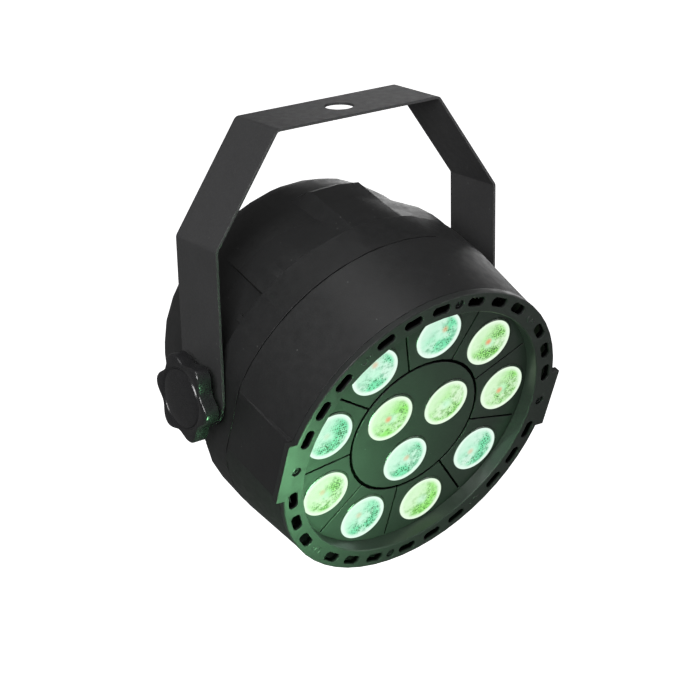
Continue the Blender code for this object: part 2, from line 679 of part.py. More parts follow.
def build_cover_screws(steel, lamp):
    out = COVER_OUT - GAP
    profile = [(1.3, -51.0), (1.3, out), (3.0, out), (2.8, out - 1.3), (1.6, out - 1.9), (0.0, out - 1.9)]
    for number, angle in enumerate(COVER_SCREWS, 1):
        x, y = polar(COVER_CIRCLE, angle)
        make_object("cover_screw_%d" % number, turned(profile, 12), lamp, steel, (x, y, 0.0))


def socket_body(name, finish, lamp, x):
    out = COVER_OUT - GAP
    flange = moved(prism(rounded_rectangle(26.0, 31.0, 3.0), out - 1.6, out), x, SOCKET_Y)
    obj = make_object(name, flange, lamp, finish)
    add(obj, [moved(rod(SOCKET_BODY, out - 0.8, -41.0, 20), x, SOCKET_Y)])
    return obj


def build_sockets(metal, plastic, lamp):
    out = COVER_OUT - GAP - 1.6
    x = -SOCKET_X
    male = socket_body("dmx_in_socket", metal, lamp, x)
    corners = [(s * 9.5, -s * 12.0) for s in (-1, 1)]
    cut(male, [moved(rod(8.8, out - 1.0, -44.0, 20), x, SOCKET_Y)]
        + [moved(rod(1.6, out - 1.0, out + 3.0, 12), x + dx, SOCKET_Y + dy) for dx, dy in corners])
    add(male, [moved(rod(1.2, out + 1.5, -43.0, 10), x + dx, SOCKET_Y + dy)
               for dx, dy in (polar(4.8, a) for a in (20.0, 160.0, 270.0))])

    x = SOCKET_X
    female = socket_body("dmx_out_socket", metal, lamp, x)
    recess = [(8.4, out - 1.0), (8.4, -46.0), (9.3, -46.0), (9.3, out - 1.0)]
    cut(female, [moved(turned(recess, 20, closed=True), x, SOCKET_Y)])
    cut(female, [moved(rod(1.5, out - 1.0, -46.0, 10), x + dx, SOCKET_Y + dy)
                 for dx, dy in (polar(4.8, a) for a in (-20.0, -160.0, 90.0))]
        + [box(x - 4.3, x + 4.3, SOCKET_Y + 10.7, SOCKET_Y + 14.4, out - 1.0, -50.0)]
        + [moved(rod(1.6, out - 1.0, out + 3.0, 12), x + dx, SOCKET_Y + dy) for dx, dy in corners])
    tab = prism(rounded_rectangle(8.0, 3.0, 0.8, 1), -1.4, 6.0)
    latch = make_object("release_latch", tab, lamp, plastic, (x, SOCKET_Y + 12.5, out))
    foot = box(x - 5.4, x + 5.4, SOCKET_Y + 11.2, SOCKET_Y + 13.8, COVER_IN + GAP, COVER_IN + 2.4)
    add(latch, [foot])


def build_inlet(plastic, lamp):
    out = COVER_OUT - GAP
    flange = moved(prism(rounded_rectangle(30.0, 22.0, 2.0, 2), out - 1.5, out), 0.0, INLET_Y)
    obj = make_object("mains_inlet", flange, lamp, plastic)
    add(obj, [moved(prism(rounded_rectangle(27.0, 19.8, 2.0, 1), out - 0.8, -39.0), 0.0, INLET_Y)])
    opening = [(-12.0, -8.2), (12.0, -8.2), (12.0, 4.2), (8.0, 8.2), (-8.0, 8.2), (-12.0, 4.2)]
    cut(obj, [moved(prism(opening, out - 3.0, -43.0), 0.0, INLET_Y)])
    blades = [box(x - 1.0, x + 1.0, INLET_Y + y - 2.0, INLET_Y + y + 2.0, out + 1.5, -42.0)
              for x, y in ((-7.0, -2.0), (0.0, 2.0), (7.0, -2.0))]
    add(obj, blades)

    x, y = FUSE_SPOT
    profile = [(4.6, -42.0), (4.6, out), (6.0, out), (6.0, out - 2.6), (5.4, out - 3.4), (0.0, out - 3.4)]
    fuse = make_object("fuse_cap", turned(profile, 24), lamp, plastic, (x, y, 0.0))
    cut(fuse, [moved(box(-4.0, 4.0, -0.6, 0.6, out - 4.0, out - 2.4), x, y)])


def build_panel_controls(clear, rubber, lamp):
    pane = prism(rounded_rectangle(28.0, 11.0, 1.0, 1), COVER_OUT, COVER_IN + 0.6)
    make_object("display_window", moved(pane, 0.0, DISPLAY_Y), lamp, clear)
    out = COVER_OUT
    for name, x in BUTTONS:
        cap = turned([(0.0, -56.1), (4.6, -56.1), (4.6, COVER_IN + GAP), (BUTTON_RADIUS, COVER_IN + GAP),
                      (BUTTON_RADIUS, out - 1.6), (3.0, out - 2.0), (0.0, out - 2.0)], 14)
        make_object(name, cap, lamp, rubber, (x, BUTTON_Y, 0.0))


def build_safety_eye(steel, lamp):
    """A loop for the safety cable, on a small plate above the display."""
    out = COVER_OUT - GAP
    obj = make_object("safety_eye", box(-8.0, 8.0, EYE_Y - 2.2, EYE_Y + 2.2, out - 1.2, out), lamp, steel)
    loop = []
    for radius, order in ((6.3, 1), (4.4, -1)):
        arc = [polar(radius, 180.0 * i / 10) for i in range(11)][::order]
        arc = [(x, out - 4.6 - y) for x, y in arc]
        foot = out - 0.6
        loop += [(radius * order, foot)] + arc + [(-radius * order, foot)]
    add(obj, [skin([[(x, EYE_Y + side, z) for x, z in loop] for side in (-1.3, 1.3)])])


# ---------------------------------------------------------------- pivots and knobs

def knob_ring(scale, x_height):
    ring = []
    for i in range(KNOB_STEPS):
        angle = 2.0 * math.pi * i / KNOB_STEPS
        radius = scale * (KNOB_MEAN + KNOB_LOBE * math.cos(LOBES * angle))
        ring.append((radius * math.cos(angle), radius * math.sin(angle), x_height))
    return ring


def knob_mesh():
    high = KNOB_HEIGHT
    rings = [circle(9.5, 0.0, KNOB_STEPS), circle(9.5, 3.4, KNOB_STEPS), knob_ring(0.95, 3.6),
             knob_ring(1.0, 4.4), knob_ring(1.0, high - 0.8), knob_ring(0.96, high),
             circle(14.2, high, KNOB_STEPS), circle(13.4, high - 0.7, KNOB_STEPS),
             circle(8.0, high + 0.2, KNOB_STEPS), [(0.0, 0.0, high + 0.5)]]
    return skin(rings)


def build_pivots(plastic, steel, rubber, hinge):
    for name, side in (("left", -1), ("right", 1)):
        knob_axis = empty(name + "_knob_axis", hinge, (side * KNOB_INNER, 0.0, 0.0))
        body = knob_mesh()
        phase = Matrix.Rotation(math.radians(-KNOB_PHASE * side), 3, "Z")
        bmesh.ops.rotate(body, matrix=phase, verts=body.verts)
        knob = make_object(name + "_knob", along_x(body, side), knob_axis, plastic)
        cut(knob, [along_x(rod(STUD_RADIUS + GAP, -1.0, 7.0), side)])
        stud = turned([(2.4, -16.5), (STUD_RADIUS, -15.9), (STUD_RADIUS, 6.4), (0.0, 6.7)], FINE)
        make_object(name + "_stud", along_x(stud, side), knob_axis, steel)
        floor = CHEEK_X - WASHER_RECESS + GAP
        top = LEG_INNER - GAP
        ring = [(WASHER_RADIUS, floor), (WASHER_RADIUS, top), (PIVOT_HOLE, top), (PIVOT_HOLE, floor)]
        make_object(name + "_washer", along_x(turned(ring, 28, closed=True), side), hinge, rubber)
        nut = rod(5.8, 64.6, 69.3, 6)
        body = make_object(name + "_nut", along_x(nut, side), hinge, steel)
        cut(body, [along_x(rod(STUD_RADIUS + GAP, 60.0, 72.0), side)])


def main():
    clear_scene()
    powder = material("powder_coat", (0.05, 0.05, 0.052), 0.55, 0.2)
    plastic = material("black_plastic", (0.018, 0.018, 0.019), 0.42)
    face = material("face_plastic", (0.02, 0.021, 0.021), 0.35)
    gloss = material("knob_plastic", (0.015, 0.015, 0.016), 0.25)
    clear = material("lens_plastic", (0.85, 0.95, 0.88), 0.08)
    smoke = material("smoked_window", (0.03, 0.01, 0.01), 0.1)
    steel = material("zinc_steel", (0.45, 0.45, 0.46), 0.35, 1.0)
    black_steel = material("black_steel", (0.03, 0.03, 0.03), 0.35, 0.8)
    alloy = material("aluminium", (0.75, 0.76, 0.77), 0.35, 1.0)
    board = material("green_board", (0.01, 0.12, 0.05), 0.4)
    white_board = material("white_board", (0.75, 0.76, 0.74), 0.4)
    dark = material("component", (0.02, 0.02, 0.03), 0.4)
    rubber = material("soft_rubber", (0.03, 0.03, 0.03), 0.7)
    wire = material("wire", (0.35, 0.02, 0.02), 0.5)

    hinge = empty("tilt_axis", None, (0.0, 0.0, -PIVOT_DROP), 90.0 + TILT)
    roll = math.radians(HEAD_ROLL)
    offset = (AXIS_DROP * math.sin(roll), -AXIS_DROP * math.cos(roll), 0.0)
    lamp = empty("lamp_axis", hinge, offset, turn_z=HEAD_ROLL)

    build_bracket(powder)
    build_front_housing(plastic, lamp)
    build_rear_housing(plastic, lamp, hinge)
    build_bezel(face, lamp)
    build_bezel_screws(black_steel, lamp)
    build_panel(face, lamp)
    build_lenses(clear, lamp)
    build_led_board(white_board, lamp)
    build_heat_sink(alloy, lamp)
    build_sink_screws(steel, lamp)
    build_fan(dark, lamp)
    build_fan_screws(steel, lamp)
    build_power(board, dark, wire, lamp)
    build_control_board(board, lamp)
    build_cover(plastic, lamp)
    build_cover_screws(black_steel, lamp)
    build_sockets(black_steel, gloss, lamp)
    build_inlet(gloss, lamp)
    build_panel_controls(smoke, rubber, lamp)
    build_safety_eye(steel, lamp)
    build_pivots(gloss, steel, rubber, hinge)


main()
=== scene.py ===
"""Looks for the LED par can light: materials, finer surface pieces, studio and camera.

Lengths are in millimetres and angles in degrees until they reach Blender, unless a comment
says otherwise. The lamp frame has x to the right, y up across the lamp and z forward.
"""
import json
import math

import bmesh
import bpy
from mathutils import Matrix, Vector

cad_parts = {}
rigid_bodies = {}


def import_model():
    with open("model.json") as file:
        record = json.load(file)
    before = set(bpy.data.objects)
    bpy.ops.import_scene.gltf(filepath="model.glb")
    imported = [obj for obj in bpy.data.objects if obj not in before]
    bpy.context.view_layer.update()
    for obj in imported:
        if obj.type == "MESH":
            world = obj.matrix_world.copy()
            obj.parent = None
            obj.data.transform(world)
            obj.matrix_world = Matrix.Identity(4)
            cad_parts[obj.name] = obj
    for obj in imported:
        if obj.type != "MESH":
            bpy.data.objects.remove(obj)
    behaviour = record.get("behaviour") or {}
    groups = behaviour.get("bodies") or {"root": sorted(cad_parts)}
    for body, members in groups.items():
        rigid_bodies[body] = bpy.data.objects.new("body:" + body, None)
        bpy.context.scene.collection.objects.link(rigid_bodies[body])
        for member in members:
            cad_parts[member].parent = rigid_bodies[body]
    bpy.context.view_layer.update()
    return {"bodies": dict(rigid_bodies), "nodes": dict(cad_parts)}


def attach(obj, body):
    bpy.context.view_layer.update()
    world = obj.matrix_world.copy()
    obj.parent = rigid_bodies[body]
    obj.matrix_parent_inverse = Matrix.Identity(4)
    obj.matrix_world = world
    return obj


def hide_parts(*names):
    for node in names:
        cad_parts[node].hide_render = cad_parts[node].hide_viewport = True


MM = 0.001

# The yoke hangs from its top; the hinge lies below it, and the lamp leans and rolls on the hinge.
PIVOT_DROP = 112.8
TILT = 18.1
HEAD_ROLL = -2.2
AXIS_DROP = 3.84

# The lamp's front: heights of the ring's face and the lens panel, then circles and radii.
FACE = 60.2
PANEL_FRONT = 53.4
SCREW_CIRCLE = 68.2
OUTER_CIRCLE = 48.9
INNER_CIRCLE = 18.0
LENS_RADIUS = 12.1
GLOW_RADIUS = 11.6
OUTER_LENSES = 9
INNER_LENSES = 3
BEZEL_SCREWS = (90.0, 180.0, 270.0, 0.0)

# The tool marks on the ring: places of the arcs, their radius and wire, and the dot's lag.
MARK_ANGLES = (47.9, 132.1, 227.9, 312.1)
MARK_RADIUS = 1.7
MARK_WIRE = 0.26
DOT_LAG = 2.9

# The rear cover's outer face and its screws.
COVER_OUT = -59.6
COVER_CIRCLE = 42.0
COVER_SCREWS = (25.0, 155.0, 205.0, 335.0)

# The turn of the cross recess in every screw.
RECESS_ANGLE = 17.0

# The knobs: their inner face, height, mean radius, the depth and turn of their lobes.
KNOB_INNER = 77.0
KNOB_HEIGHT = 10.6
KNOB_MEAN = 17.8
KNOB_LOBE = 1.9
KNOB_PHASE = 8.0
LOBES = 6

# Steps round a circle, and along the open arc.
KNOB_STEPS = 144
LENS_STEPS = 64
SCREW_STEPS = 40
DOT_STEPS = 20
WIRE_STEPS = 8
ARC_STEPS = 14

# The angle between faces above which an edge stays sharp.
SHARP = 35.0
LENS_SHARP = 50.0
KNOB_SHARP = 28.0
CAD_SHARP = 41.0
SHELL_SHARP = 23.0

# Colours of the lit lenses: the two kinds, then the cells, middle, die and edge of each.
MINT = (0.2, 0.78, 0.44)
LIME = (0.3, 0.8, 0.16)
CELL_SHADE = (0.02, 0.075, 0.02)
CORE = (0.6, 0.95, 0.75)
WARM = (0.85, 0.33, 0.16)
SEAT = (0.004, 0.008, 0.005)

# How far a lens's pale middle sits off its own, and the side on which its cells show.
CORE_SHIFT = (0.4, 0.35)
CELL_SIDE = (0.83, -0.55, 0.0)

# The numbers of the greener lenses.
LIME_LENSES = (4, 6, 8, 9, 10, 11)

# For each lens in turn, its die's place across and up, and strength.
DIES = ((2.2, 3.0, 0.6), (-1.5, 4.5, 0.5), (-2.0, 1.0, 0.15), (-2.5, 2.0, 0.35), (-3.0, 2.5, 0.35),
        (0.0, 0.0, 0.05), (-2.5, -0.5, 0.45), (-1.5, -0.5, 0.85), (-0.8, 1.0, 0.95), (0.0, 1.0, 0.0),
        (-1.6, 0.3, 0.9), (0.0, 1.2, 0.5))

# The painted shade deep inside the slots and grooves: a near-black colour where there is only shade.
HOLLOW_PAINTED_SHADE = (0.001, 0.001, 0.001)

# The studio, in metres, and how brightly it and the sky shine.
FLOOR_RADIUS = 12.0
FLOOR_LEVEL = -0.9
BACKDROP_RADIUS = 14.0
STUDIO_GLOW = 1.2
SKY_GLOW = 0.12
BOUNCE_SPREAD = 130.0

# The camera: azimuth, elevation and roll, what it looks at, how far off, and its lens.
VIEW_ANGLES = (-36.718, 21.007, -1.2875)
VIEW_TARGET = (0.923, -2.659, 0.948 - PIVOT_DROP)
VIEW_DISTANCE = 875.57
VIEW_LENS = 100.24
SENSOR_WIDTH = 36.0


# ---------------------------------------------------------------- frames

def turn(degrees, axis):
    """A rotation about a named axis."""
    return Matrix.Rotation(math.radians(degrees), 4, axis)


def shift(x, y, z):
    """A move in millimetres, as a matrix in metres."""
    return Matrix.Translation((x * MM, y * MM, z * MM))


HINGE = shift(0.0, 0.0, -PIVOT_DROP) @ turn(90.0 + TILT, "X")
LAMP = HINGE @ turn(HEAD_ROLL, "Z") @ shift(0.0, -AXIS_DROP, 0.0)


def polar(radius, degrees):
    """The x and y of a point at an angle on a circle."""
    angle = math.radians(degrees)
    return radius * math.cos(angle), radius * math.sin(angle)


# ---------------------------------------------------------------- materials

def node(tree, kind, links=(), **values):
    """Adds a node. Lower-case names are its properties, the rest its inputs."""
    made = tree.nodes.new(kind)
    for key, value in values.items():
        if key[0].islower():
            setattr(made, key, value)
        else:
            made.inputs[key.replace("_", " ")].default_value = value
    for socket, source in links:
        tree.links.new(source, made.inputs[socket])
    return made


def spread(tree, source, low, high, start=0.3, end=0.7):
    """Maps a socket's values from start and end to low and high, and holds them there beyond."""
    made = node(tree, "ShaderNodeMapRange", [("Value", source)], From_Min=start, From_Max=end,
                To_Min=low, To_Max=high)
    return made.outputs["Result"]


def blend(tree, factor, first, second):
    """Mixes two colours; each is a socket or a colour."""
    made = tree.nodes.new("ShaderNodeMix")
    made.data_type = "RGBA"
    made.clamp_factor = True
    for index, value in ((0, factor), (6, first), (7, second)):
        if isinstance(value, (int, float)):
            made.inputs[index].default_value = value
        elif isinstance(value, tuple):
            made.inputs[index].default_value = (*value, 1.0)
        else:
            tree.links.new(value, made.inputs[index])
    return made.outputs[2]


def product(tree, first, *others):
    """The product of two or more sockets of numbers."""
    result = first
    for other in others:
        times = node(tree, "ShaderNodeMath", [(0, result), (1, other)], operation="MULTIPLY")
        result = times.outputs["Value"]
    return result


def measure(tree, operation, vector, other=(0.0, 0.0, 0.0)):
    """A vector operation whose result is a number; other is a fixed vector."""
    made = node(tree, "ShaderNodeVectorMath", [(0, vector)], operation=operation)
    made.inputs[1].default_value = other
    return made.outputs["Value"]


def surface(name, colour, other, rough, grain, swing=0.06, metallic=0.0, edge=0.25,
            worn=None, brushed=None, coat=0.0, dust=0.0):
    """A surface with grain, blotches of a second colour, uneven gloss, eased and worn edges.

    grain is the scale and strength of the fine bump, and edge is the width of the easing.
    """
    made = bpy.data.materials.new(name)
    made.use_nodes = True
    tree = made.node_tree
    shader = tree.nodes["Principled BSDF"]
    shader.inputs["Metallic"].default_value = metallic
    shader.inputs["Coat Weight"].default_value = coat
    place = tree.nodes.new("ShaderNodeTexCoord").outputs["Object"]
    stretched = place
    if brushed:
        stretched = node(tree, "ShaderNodeMapping", [("Vector", place)], Scale=brushed).outputs["Vector"]
    fine = node(tree, "ShaderNodeTexNoise", [("Vector", stretched)],
                Scale=grain[0], Detail=3.0, Roughness=0.6)
    broad = node(tree, "ShaderNodeTexNoise", [("Vector", place)], Scale=42.0, Detail=5.0, Roughness=0.62)
    middle = node(tree, "ShaderNodeTexNoise", [("Vector", place)], Scale=260.0, Detail=4.0, Roughness=0.55)
    tint = blend(tree, spread(tree, broad.outputs["Fac"], 0.0, 1.0), colour, other)
    speck = spread(tree, fine.outputs["Fac"], 0.0, 0.35, 0.45, 0.75)
    tint = blend(tree, speck, tint, tuple(min(1.0, c * 1.7 + 0.004) for c in other))
    eased = node(tree, "ShaderNodeBevel", Radius=edge * MM)
    eased.samples = 4
    if worn:
        flat = tree.nodes.new("ShaderNodeNewGeometry").outputs["Normal"]
        angle = node(tree, "ShaderNodeVectorMath", [(0, eased.outputs["Normal"]), (1, flat)],
                     operation="DOT_PRODUCT")
        rim = spread(tree, angle.outputs["Value"], 1.0, 0.0, 0.82, 0.97)
        patch = spread(tree, middle.outputs["Fac"], 0.0, 1.0, 0.5, 0.66)
        tint = blend(tree, product(tree, rim, patch), tint, worn)
    if dust:
        fleck = node(tree, "ShaderNodeTexVoronoi", [("Vector", place)], Scale=150.0)
        mask = spread(tree, fleck.outputs["Distance"], dust, 0.0, 0.03, 0.06)
        tint = blend(tree, mask, tint, (0.3, 0.3, 0.29))
    tree.links.new(tint, shader.inputs["Base Color"])
    gloss = spread(tree, middle.outputs["Fac"], rough - swing, rough + swing)
    tree.links.new(gloss, shader.inputs["Roughness"])
    wavy = node(tree, "ShaderNodeBump",
                [("Height", middle.outputs["Fac"]), ("Normal", eased.outputs["Normal"])],
                Strength=0.05, Distance=0.6 * MM)
    bump = node(tree, "ShaderNodeBump",
                [("Height", fine.outputs["Fac"]), ("Normal", wavy.outputs["Normal"])],
                Strength=grain[1], Distance=0.12 * MM)
    tree.links.new(bump.outputs["Normal"], shader.inputs["Normal"])
    return made


def board_surface(name, mask_colour, copper):
    """Solder mask over a pattern of tracks."""
    made = surface(name, mask_colour, tuple(c * 0.8 for c in mask_colour), 0.35, (900.0, 0.05))
    tree = made.node_tree
    shader = tree.nodes["Principled BSDF"]
    place = tree.nodes.new("ShaderNodeTexCoord").outputs["Object"]
    tracks = node(tree, "ShaderNodeTexBrick", [("Vector", place)], Scale=120.0, Mortar_Size=0.03)
    before = shader.inputs["Base Color"].links[0].from_socket
    tree.links.new(blend(tree, tracks.outputs["Fac"], before, copper), shader.inputs["Base Color"])
    return made


def glow(number, tint, die):
    """A lit lens: white rim, a field of small cells, a pale middle and the die's warm spot."""
    made = bpy.data.materials.new("lens_glow_%02d" % number)
    made.use_nodes = True
    tree = made.node_tree
    shader = tree.nodes["Principled BSDF"]
    shader.inputs["Roughness"].default_value = 0.12
    shader.inputs["Base Color"].default_value = (0.02, 0.025, 0.02, 1.0)
    place = tree.nodes.new("ShaderNodeTexCoord").outputs["Object"]
    flat = node(tree, "ShaderNodeVectorMath", [(0, place)], operation="MULTIPLY_ADD")
    flat.inputs[1].default_value = (1.0, 1.0, 0.0)
    flat.inputs[2].default_value = (CORE_SHIFT[0] * MM, CORE_SHIFT[1] * MM, 0.0)
    flat = flat.outputs["Vector"]
    reach = measure(tree, "LENGTH", flat)
    own = Vector((0.37, 0.53, 0.11)) * number
    moved = node(tree, "ShaderNodeMapping", [("Vector", flat)], Location=own).outputs["Vector"]
    cells = node(tree, "ShaderNodeTexVoronoi", [("Vector", moved)], Scale=880.0, Randomness=0.55)
    cloud = node(tree, "ShaderNodeTexNoise", [("Vector", moved)], Scale=105.0, Detail=3.0)
    streak = node(tree, "ShaderNodeTexNoise", [("Vector", moved)], Scale=420.0, Detail=2.0)

    pale = tuple(0.55 + 0.45 * c for c in tint)
    deep = tuple(0.5 * c for c in tint)
    field = blend(tree, spread(tree, cloud.outputs["Fac"], 0.0, 1.0, 0.36, 0.6), pale, tint)
    field = blend(tree, spread(tree, streak.outputs["Fac"], 0.0, 0.6, 0.48, 0.66), field, deep)
    lean = measure(tree, "DOT_PRODUCT", flat, CELL_SIDE)
    side = spread(tree, lean, 0.0, 1.0, -4.5 * MM, 1.5 * MM)
    haze = spread(tree, lean, 0.9, 0.0, -7.0 * MM, 1.0 * MM)
    field = blend(tree, haze, field, pale)
    dot = spread(tree, cells.outputs["Distance"], 1.0, 0.0, 0.26, 0.5)
    where = spread(tree, cloud.outputs["Fac"], 0.15, 1.0, 0.4, 0.54)
    out = spread(tree, reach, 1.0, 0.0, 8.4 * MM, 9.8 * MM)
    away = spread(tree, reach, 0.1, 1.0, 1.6 * MM, 3.8 * MM)
    field = blend(tree, product(tree, dot, where, out, away, side), field, CELL_SHADE)
    middle = spread(tree, reach, 0.6, 0.0, 0.8 * MM, 3.8 * MM)
    field = blend(tree, middle, field, CORE)
    spot = measure(tree, "DISTANCE", flat, (die[0] * MM, die[1] * MM, 0.0))
    warm = spread(tree, spot, die[2], 0.0, 0.6 * MM, 2.2 * MM)
    field = blend(tree, warm, field, WARM)
    rim = spread(tree, reach, 0.0, 1.0, (GLOW_RADIUS - 2.6) * MM, (GLOW_RADIUS - 1.0) * MM)
    field = blend(tree, rim, field, tuple(0.72 + 0.3 * c for c in tint))
    seat = spread(tree, reach, 0.0, 1.0, (GLOW_RADIUS - 0.15) * MM, (GLOW_RADIUS + 0.1) * MM)
    field = blend(tree, seat, field, SEAT)
    tree.links.new(field, shader.inputs["Emission Color"])
    shader.inputs["Emission Strength"].default_value = 1.0
    height = node(tree, "ShaderNodeBump", [("Height", cells.outputs["Distance"])],
                  Strength=0.3, Distance=0.3 * MM)
    tree.links.new(height.outputs["Normal"], shader.inputs["Normal"])
    return made


POWDER = surface("powder_coat", (0.036, 0.036, 0.037), (0.042, 0.042, 0.043), 0.5, (1500.0, 0.5), edge=0.35,
                 worn=(0.16, 0.155, 0.15), dust=0.25)
HOUSING = surface("black_plastic", (0.0135, 0.0138, 0.014), (0.017, 0.0172, 0.0175), 0.44, (1900.0, 0.22),
                  edge=0.3, worn=(0.035, 0.035, 0.035), dust=0.2)
SATIN = surface("face_plastic", (0.019, 0.021, 0.020), (0.023, 0.025, 0.024), 0.36, (1700.0, 0.12), edge=0.3,
                worn=(0.05, 0.055, 0.05), dust=0.15)
GLOSSY = surface("knob_plastic", (0.011, 0.011, 0.012), (0.015, 0.015, 0.016), 0.26, (700.0, 0.03), edge=0.35,
                 worn=(0.04, 0.04, 0.04), coat=0.25)
ZINC = surface("zinc_steel", (0.42, 0.42, 0.44), (0.5, 0.49, 0.46), 0.32, (900.0, 0.15), metallic=1.0,
               worn=(0.6, 0.6, 0.6))
BLACK_STEEL = surface("black_steel", (0.028, 0.028, 0.03), (0.036, 0.036, 0.038), 0.36, (1200.0, 0.15),
                      metallic=0.7, worn=(0.2, 0.2, 0.2))
ALLOY = surface("aluminium", (0.7, 0.71, 0.72), (0.62, 0.63, 0.64), 0.34, (1400.0, 0.3), metallic=1.0,
                brushed=(0.08, 1.0, 1.0))
RUBBER = surface("soft_rubber", (0.026, 0.026, 0.027), (0.034, 0.034, 0.034), 0.68, (1300.0, 0.3))
MOULDED = surface("component", (0.018, 0.018, 0.022), (0.024, 0.024, 0.028), 0.42, (1600.0, 0.2))
FERRITE = surface("ferrite", (0.022, 0.022, 0.026), (0.05, 0.04, 0.02), 0.5, (800.0, 0.4))
WIRE = surface("wire", (0.35, 0.02, 0.02), (0.28, 0.015, 0.015), 0.4, (600.0, 0.05))
SMOKED = surface("smoked_window", (0.02, 0.004, 0.004), (0.026, 0.006, 0.006), 0.09, (300.0, 0.01),
                 swing=0.03, coat=0.5)


def painted_shade_hollows(name, front, deepest, inner=0.0, outer=0.0):
    """The face plastic with painted shade in its hollows: near-black colour and no reflection, from just
    below the front plane to the deepest.

    With an outer radius, only the hollows between the two radii get the painted shade.
    """
    made = SATIN.copy()
    made.name = name
    tree = made.node_tree
    shader = tree.nodes["Principled BSDF"]
    place = tree.nodes.new("ShaderNodeTexCoord").outputs["Object"]
    axis = (LAMP.to_3x3() @ Vector((0.0, 0.0, 1.0))).normalized()
    middle = LAMP @ Vector((0.0, 0.0, front * MM))
    height = measure(tree, "DOT_PRODUCT", place, axis)
    level = middle.dot(axis)
    # Painted shade: the colour turns near-black below the front plane, where the hollows lie in shade.
    mask = spread(tree, height, 1.0, 0.0, level - deepest * MM, level - 0.15 * MM)
    if outer:
        wide = measure(tree, "DISTANCE", place, middle)
        beyond = spread(tree, wide, 0.0, 1.0, inner * MM, (inner + 1.0) * MM)
        within = spread(tree, wide, 1.0, 0.0, (outer - 0.6) * MM, outer * MM)
        mask = product(tree, mask, beyond, within)
    before = shader.inputs["Base Color"].links[0].from_socket
    tree.links.new(blend(tree, mask, before, HOLLOW_PAINTED_SHADE), shader.inputs["Base Color"])
    # The painted shade also takes the reflection out of the hollows.
    tree.links.new(spread(tree, mask, 0.5, 0.0, 0.0, 1.0), shader.inputs["Specular IOR Level"])
    return made


# The ring and the panel get painted shade in their hollows.
RING = painted_shade_hollows("ring_plastic_painted_shade", FACE, 1.3, 63.6, 72.2)
PANEL = painted_shade_hollows("panel_plastic_painted_shade", PANEL_FRONT, 0.7)
WHITE_BOARD = board_surface("white_board", (0.72, 0.73, 0.71), (0.6, 0.6, 0.55))
GREEN_BOARD = board_surface("green_board", (0.01, 0.11, 0.045), (0.02, 0.2, 0.08))


def finish_of(name):
    """The material of a CAD node."""
    if name == "bracket":
        return POWDER
    if name == "front_bezel":
        return RING
    if name == "lens_panel":
        return PANEL
    if name in ("release_latch", "fuse_cap", "mains_inlet") or name.endswith("_knob"):
        return GLOSSY
    if name in ("dmx_in_socket", "dmx_out_socket") or name.startswith(("bezel_screw", "cover_screw")):
        return BLACK_STEEL
    if name.startswith(("safety_eye", "sink_screw", "fan_screw")) or name.endswith(("_stud", "_nut")):
        return ZINC
    if name.endswith(("_button", "_washer")):
        return RUBBER
    plain = {"heat_sink": ALLOY, "led_board": WHITE_BOARD, "power_board": GREEN_BOARD,
             "control_board": GREEN_BOARD, "transformer": FERRITE, "capacitor": MOULDED,
             "fan_frame": MOULDED, "fan_rotor": MOULDED, "display_window": SMOKED, "led_lead": WIRE}
    return plain.get(name, HOUSING)


# ---------------------------------------------------------------- meshes

def skin(rings):
    """Faces between rings of points; a ring of one point is a pole."""
    bm = bmesh.new()
    made = [[bm.verts.new(tuple(MM * v for v in point)) for point in ring] for ring in rings]
    for low, high in zip(made[:-1], made[1:]):
        count = max(len(low), len(high))
        for i in range(count):
            j = (i + 1) % count
            corners = [low[i % len(low)], low[j % len(low)], high[j % len(high)], high[i % len(high)]]
            corners = list(dict.fromkeys(corners))  # a pole gives its vertex twice
            if len(corners) > 2:
                bm.faces.new(corners)
    for ring in (made[0], made[-1]):
        if len(ring) > 2:
            bm.faces.new(ring)
    bmesh.ops.recalc_face_normals(bm, faces=bm.faces)
    return bm


def circle(radius, z, count):
    """A ring of points about z."""
    return [(*polar(radius, 360.0 * i / count), z) for i in range(count)]


def turned(profile, count):
    """A solid of revolution about z, from points of radius and height."""
    rings = [[(0.0, 0.0, z)] if radius == 0.0 else circle(radius, z, count) for radius, z in profile]
    return skin(rings)


def box(x0, x1, y0, y1, z0, z1):
    """A block between two corners, used only to cut."""
    return skin([[(x0, y0, z), (x1, y0, z), (x1, y1, z), (x0, y1, z)] for z in (z0, z1)])


def make(name, bm, material, matrix, body, node_names, sharp=SHARP):
    """A piece that rides a body and takes the place of the named CAD nodes, if any."""
    mesh = bpy.data.meshes.new(name)
    bm.to_mesh(mesh)
    bm.free()
    mesh.shade_smooth()
    mesh.set_sharp_from_angle(angle=math.radians(sharp))
    mesh.materials.append(material)
    obj = bpy.data.objects.new(name, mesh)
    bpy.context.scene.collection.objects.link(obj)
    obj.matrix_world = matrix
    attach(obj, body)
    if node_names:
        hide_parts(*node_names)
    return obj


def cut_with(obj, bm):
    """Cuts obj by a mesh drawn in obj's own frame, for good."""
    mesh = bpy.data.meshes.new(obj.name + "_cutter")
    bm.to_mesh(mesh)
    bm.free()
    cutter = bpy.data.objects.new(obj.name + "_cutter", mesh)
    bpy.context.scene.collection.objects.link(cutter)
    cutter.matrix_world = obj.matrix_world
    modifier = obj.modifiers.new("cut", "BOOLEAN")
    modifier.operation = "DIFFERENCE"
    modifier.solver = "EXACT"
    modifier.object = cutter
    bpy.context.view_layer.update()
    shape = bpy.data.meshes.new_from_object(obj.evaluated_get(bpy.context.evaluated_depsgraph_get()))
    obj.modifiers.clear()
    obj.data = shape
    bpy.data.objects.remove(cutter, do_unlink=True)
    obj.data.shade_smooth()
    obj.data.set_sharp_from_angle(angle=math.radians(SHARP))


